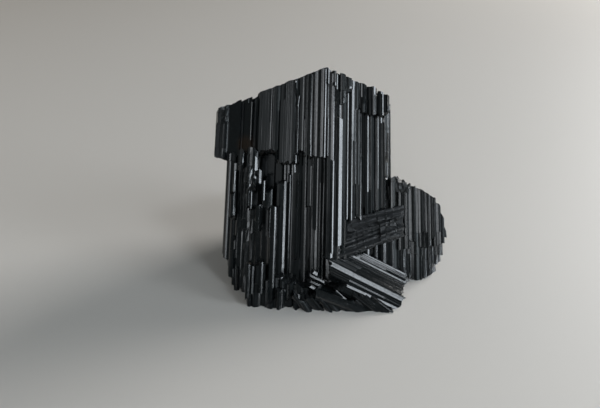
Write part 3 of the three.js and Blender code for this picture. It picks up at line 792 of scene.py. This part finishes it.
# %% The back
RING = [
    (-14.6, 11), (-16.4, 15), (-14.4, 22), (-8, 28), (0, 30.5), (9, 30), (17, 26), (21, 19),
    (21.4, 10),
]
RING_SPACING = 2.4               # between the middles of the columns, in mm
random = stream(9)
for i in range(len(RING) - 1):
    (x0, v0), (x1, v1) = RING[i], RING[i + 1]
    count = int(math.floor(math.hypot(x1 - x0, v1 - v0) / RING_SPACING + 0.5))
    for k in range(count):
        t = (k + 0.5) / count
        w = 1.5 + 1.3 * random()
        d = w * (0.8 + 0.5 * random())
        drop = 8 * random() * random()
        foot = 18 + 14 * random() if random() < 0.25 else None
        column(x0 + (x1 - x0) * t, v0 + (v1 - v0) * t - d, w, d, drop=drop, foot=foot,
               seed=1000 + 20 * i + k, pitch=0.4, depth=0.13, ledges=8, rough=0.6, bevel=0.06,
               uneven=0.34, top_rough=0.25)
print("pieces in all", len(made))

# %% [markdown]
# ## One skin, cut flat
# The prisms overlap, as the crystals do. Left like that, every hidden face would stay inside, so
# they are joined into one closed skin and then cut flat at the ground. The joined skin keeps the
# attributes of the prisms that it came from.


# %% Join everything
def evaluated(thing):
    """A plain mesh of the object with its modifiers applied."""
    graph = bpy.context.evaluated_depsgraph_get()
    return bpy.data.meshes.new_from_object(thing.evaluated_get(graph))


def cut_away(body, points, faces, finish):
    """The object's mesh less a closed cutter. The cutter carries the prisms' two attributes, so
    that the faces it leaves have them too."""
    mesh = bpy.data.meshes.new("cutter")
    mesh.from_pydata(points.tolist(), [], faces)
    for name, domain, value, length in (("own", "CORNER", points[0], len(mesh.loops)),
                                        ("finish", "FACE", finish, len(faces))):
        mesh.attributes.new(name, "FLOAT_VECTOR", domain).data.foreach_set(
            "vector", np.tile(np.float32(value), length))
    cutter = bpy.data.objects.new("cutter", mesh)
    bpy.context.scene.collection.objects.link(cutter)
    cut = body.modifiers.new("cut", "BOOLEAN")
    cut.operation, cut.object, cut.solver = "DIFFERENCE", cutter, "MANIFOLD"
    left = evaluated(body)
    body.modifiers.clear()
    bpy.data.objects.remove(cutter)
    return left


def lean_and_place(mesh):
    """Turns the mesh back by the lean about x, and moves its zero to where it stands."""
    p = np.empty(3 * len(mesh.vertices), np.float32)
    mesh.vertices.foreach_get("co", p)
    p = p.reshape(-1, 3).astype(float)
    y = p[:, 1] * math.cos(LEAN) + p[:, 2] * math.sin(LEAN)
    z = p[:, 2] * math.cos(LEAN) - p[:, 1] * math.sin(LEAN)
    placed = np.stack([p[:, 0], y, z], 1) + SHEAF_ORIGIN
    mesh.vertices.foreach_set("co", placed.astype(np.float32).ravel())
    mesh.update()


first = made[0]
gathering.objects.unlink(first)
bpy.context.scene.collection.objects.link(first)
join = first.modifiers.new("join", "BOOLEAN")
join.operation, join.operand_type, join.solver = "UNION", "COLLECTION", "MANIFOLD"
join.collection = gathering
joined = evaluated(first)
for piece in made:
    bpy.data.objects.remove(piece)
print("joined faces", len(joined.polygons))

cluster = bpy.data.objects.new("schorl_cluster", joined)
bpy.context.scene.collection.objects.link(cluster)

# %% [markdown]
# ## The crack
# A jagged crack runs down the slab. Its left lip stands forward and catches the window, so it was
# made above as a chain of slivers. Beside it the crack itself is a thin dark groove: a
# three-cornered profile is carried along a crooked path and cut out of the joined sheaf.

# %% The crack in the slab and the flat foot
FAR = 200                        # the cutter under the ground reaches this far each way, in mm
CRACK_FINISH = (0.4, 0, 0)       # its banks are two fifths like a broken end
CUT_FINISH = (1, 0.6, 0)         # the flat cut is like a broken end, and fairly dull
CRACK = [
    (-0.7, 3.3, 60), (-0.8, 3.3, 54.9), (0.15, 3.1, 52.7), (-0.2, 3.1, 50.8), (-0.1, 3.1, 48),
    (-0.35, 3.15, 42), (-0.4, 3.15, 38.4), (-0.75, 3.2, 37.2), (-1, 3.2, 35.4), (-1, 3.2, 33),
]
crack_path = np.array(CRACK)     # its bottom, as x, v and u in mm
crack_profile = np.array([(0, 0, 0), (-0.3, -1.2, 0), (0.3, -1.2, 0)])
bar = (crack_path[:, None] + crack_profile[None]).reshape(-1, 3)
r = 3 * np.arange(len(CRACK) - 1)[:, None]
i, j = np.arange(3), (np.arange(3) + 1) % 3
bar_faces = np.stack([r + i, r + j, r + 3 + j, r + 3 + i], -1).reshape(-1, 4).tolist()
bar_faces += [[2, 1, 0], [len(bar) - 3, len(bar) - 2, len(bar) - 1]]
cluster.data = cut_away(cluster, bar, bar_faces, CRACK_FINISH)
lean_and_place(cluster.data)
box = np.array([[x, y, z] for z in (-FAR, 0) for y in (-FAR, FAR) for x in (-FAR, FAR)], float)
box_faces = [(0, 2, 3, 1), (4, 5, 7, 6), (0, 1, 5, 4), (2, 6, 7, 3), (0, 4, 6, 2), (1, 3, 7, 5)]
whole = cut_away(cluster, box, box_faces, CUT_FINISH)
print("faces after the cuts", len(whole.polygons), "corners", len(whole.loops))

# %% [markdown]
# ## One piece in metres
# The cuts can leave crumbs, small closed bits that hang in the air. They could be picked out by
# eye, but it is surer to give each point a label that spreads along the edges, and to keep the
# largest group. Faces of more than four corners become triangles, and millimetres become metres.


# %% Keep the one big piece
def largest_island(mesh):
    """Tells for each point whether it is in the largest connected part. Each point takes the
    lowest label that its edges lead to, again and again, until nothing changes."""
    n = len(mesh.vertices)
    ends = np.empty(2 * len(mesh.edges), np.int32)
    mesh.edges.foreach_get("vertices", ends)
    a, b = ends.reshape(-1, 2).T
    label = np.arange(n)
    while True:
        before = label.copy()
        low = np.minimum(label[a], label[b])
        np.minimum.at(label, a, low)
        np.minimum.at(label, b, low)
        label = label[label]
        if (label == before).all():
            break
    names, sizes = np.unique(label, return_counts=True)
    return label == names[sizes.argmax()]


kept = largest_island(whole)
sheet = bmesh.new()
sheet.from_mesh(whole)
sheet.verts.ensure_lookup_table()
bmesh.ops.delete(sheet, geom=[sheet.verts[int(i)] for i in np.flatnonzero(~kept)], context="VERTS")
bmesh.ops.triangulate(sheet, faces=[f for f in sheet.faces if len(f.verts) > 4])
sheet.to_mesh(whole)
sheet.free()
place = np.empty(3 * len(whole.vertices), np.float32)
whole.vertices.foreach_get("co", place)
whole.vertices.foreach_set("co", place * np.float32(MM))
whole.update()
cluster.data = whole
whole.name = "schorl_cluster"
print("dropped", int((~kept).sum()), "loose points; faces", len(whole.polygons))

# %% [markdown]
# ## Black, glassy and lined
# Schorl is opaque black with a glassy lustre. Its faces carry lines along their length that are
# finer than the strips of the mesh, so a noise stretched along each prism's own u raises them.
# The broken ends are rougher and show small conchoidal bumps. The dull crystals are pitted and
# dusty. Three materials would do, but they would meet in hard lines. Here there is one, which mixes
# by the two numbers that every face carries.

# %% Helpers for the finish
schorl = bpy.data.materials.new("schorl")
schorl.use_nodes = True
tree = schorl.node_tree


def fill(socket, value):
    """Links another node's output to the socket, or puts a plain value into it."""
    if isinstance(value, bpy.types.NodeSocket):
        tree.links.new(value, socket)
    else:
        socket.default_value = value


def node(kind, inputs, **settings):
    """Adds a node with its settings, and fills the inputs that are named or numbered."""
    added = tree.nodes.new(kind)
    for name, value in settings.items():
        setattr(added, name, value)
    for name, value in inputs.items():
        fill(added.inputs[name], value)
    return added


def noise(vector, scale, detail, roughness):
    """A noise from 0 to 1 over the given coordinates."""
    inputs = {"Vector": vector, "Scale": scale, "Detail": detail, "Roughness": roughness}
    return node("ShaderNodeTexNoise", inputs).outputs["Fac"]


def mixed(kind, share, a, b):
    """A where the share is 0, b where it is 1, and evenly between them otherwise."""
    inputs = {"Factor": share, "A": a, "B": b}
    return node("ShaderNodeMix", inputs, data_type=kind).outputs["Result"]


def times_plus(value, factor, more):
    """The value times a factor, plus more."""
    inputs = {0: value, 1: factor, 2: more}
    return node("ShaderNodeMath", inputs, operation="MULTIPLY_ADD").outputs[0]


def ranged(value, low, high, at_low, at_high, **settings):
    """Carries the range from low to high over to another one, and holds it at both ends."""
    inputs = {"Value": value, "From Min": low, "From Max": high, "To Min": at_low,
              "To Max": at_high}
    return node("ShaderNodeMapRange", inputs, **settings).outputs[0]


own = node("ShaderNodeAttribute", {}, attribute_name="own").outputs["Vector"]
finish = node("ShaderNodeAttribute", {}, attribute_name="finish").outputs["Vector"]
parts = node("ShaderNodeSeparateXYZ", {0: finish}).outputs
is_end, dullness = parts["X"], parts["Y"]
print("the finish follows", is_end.name, "for the ends and", dullness.name, "for the dull crystals")

# %% Relief, gloss and colour
SCHORL_IOR = 1.64
BUMP_DISTANCE = 0.0001           # in metres
FACE_BUMP, DULL_BUMP = 0.2, 0.55        # the bump's strength on a face, and what dullness adds
END_BUMP = 0.3                   # what an end adds, as a share of what dullness adds
NOISE_LOW, NOISE_HIGH = 0.3, 0.7        # between these a noise has most of its values
POLISHED, WORN = 0.10, 0.24      # roughness of a grown face, where it is glossiest and dullest
END_ROUGHER, DULL_ROUGHER = 0.14, 0.33
ALONG_LINES, ALONG_PITS = 0.02, 0.4     # how fast lines and pits change lengthwise, against across
BLACK, GREY_BLACK = (0.0025, 0.0040, 0.0046, 1), (0.010, 0.012, 0.013, 1)
DUST, RUST = (0.026, 0.028, 0.030, 1), (0.034, 0.019, 0.010, 1)
STAIN_AT = (-0.0225, 0.0008, 0.0322)    # a faint rust stain under the block at the left, in metres
STAIN_FULL, STAIN_GONE = 0.0008, 0.0032         # its full part and its whole, as radii in metres
STAIN_SHARE = 0.8

for_lines = node("ShaderNodeMapping", {"Vector": own, "Scale": (1, 1, ALONG_LINES)}).outputs[0]
for_pits = node("ShaderNodeMapping", {"Vector": own, "Scale": (1, 1, ALONG_PITS)}).outputs[0]
lines = noise(for_lines, scale=2.6, detail=2.0, roughness=0.6)
bumps = noise(own, scale=1.6, detail=5.0, roughness=0.65)
pitting = noise(for_pits, scale=2.4, detail=4.0, roughness=0.6)
relief = mixed("FLOAT", dullness, mixed("FLOAT", is_end, lines, bumps), pitting)
strength = times_plus(times_plus(is_end, END_BUMP, dullness), DULL_BUMP, FACE_BUMP)
bump = node("ShaderNodeBump", {"Distance": BUMP_DISTANCE, "Strength": strength, "Height": relief})

gloss = ranged(bumps, NOISE_LOW, NOISE_HIGH, POLISHED, WORN)
roughness = times_plus(dullness, DULL_ROUGHER, times_plus(is_end, END_ROUGHER, gloss))

at = node("ShaderNodeTexCoord", {}).outputs["Object"]
away = node("ShaderNodeVectorMath", {0: at, 1: STAIN_AT}, operation="DISTANCE").outputs["Value"]
stain = ranged(away, STAIN_FULL, STAIN_GONE, STAIN_SHARE, 0.0, interpolation_type="SMOOTHSTEP")
stained = mixed("RGBA", stain, mixed("RGBA", bumps, BLACK, GREY_BLACK), RUST)

surface = tree.nodes["Principled BSDF"].inputs
fill(surface["IOR"], SCHORL_IOR)
fill(surface["Normal"], bump.outputs[0])
fill(surface["Roughness"], roughness)
fill(surface["Base Color"], mixed("RGBA", dullness, stained, DUST))
whole.materials.clear()
whole.materials.append(schorl)
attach(cluster, "root")
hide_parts("tourmaline_crystal")
print("materials", [m.name for m in whole.materials])
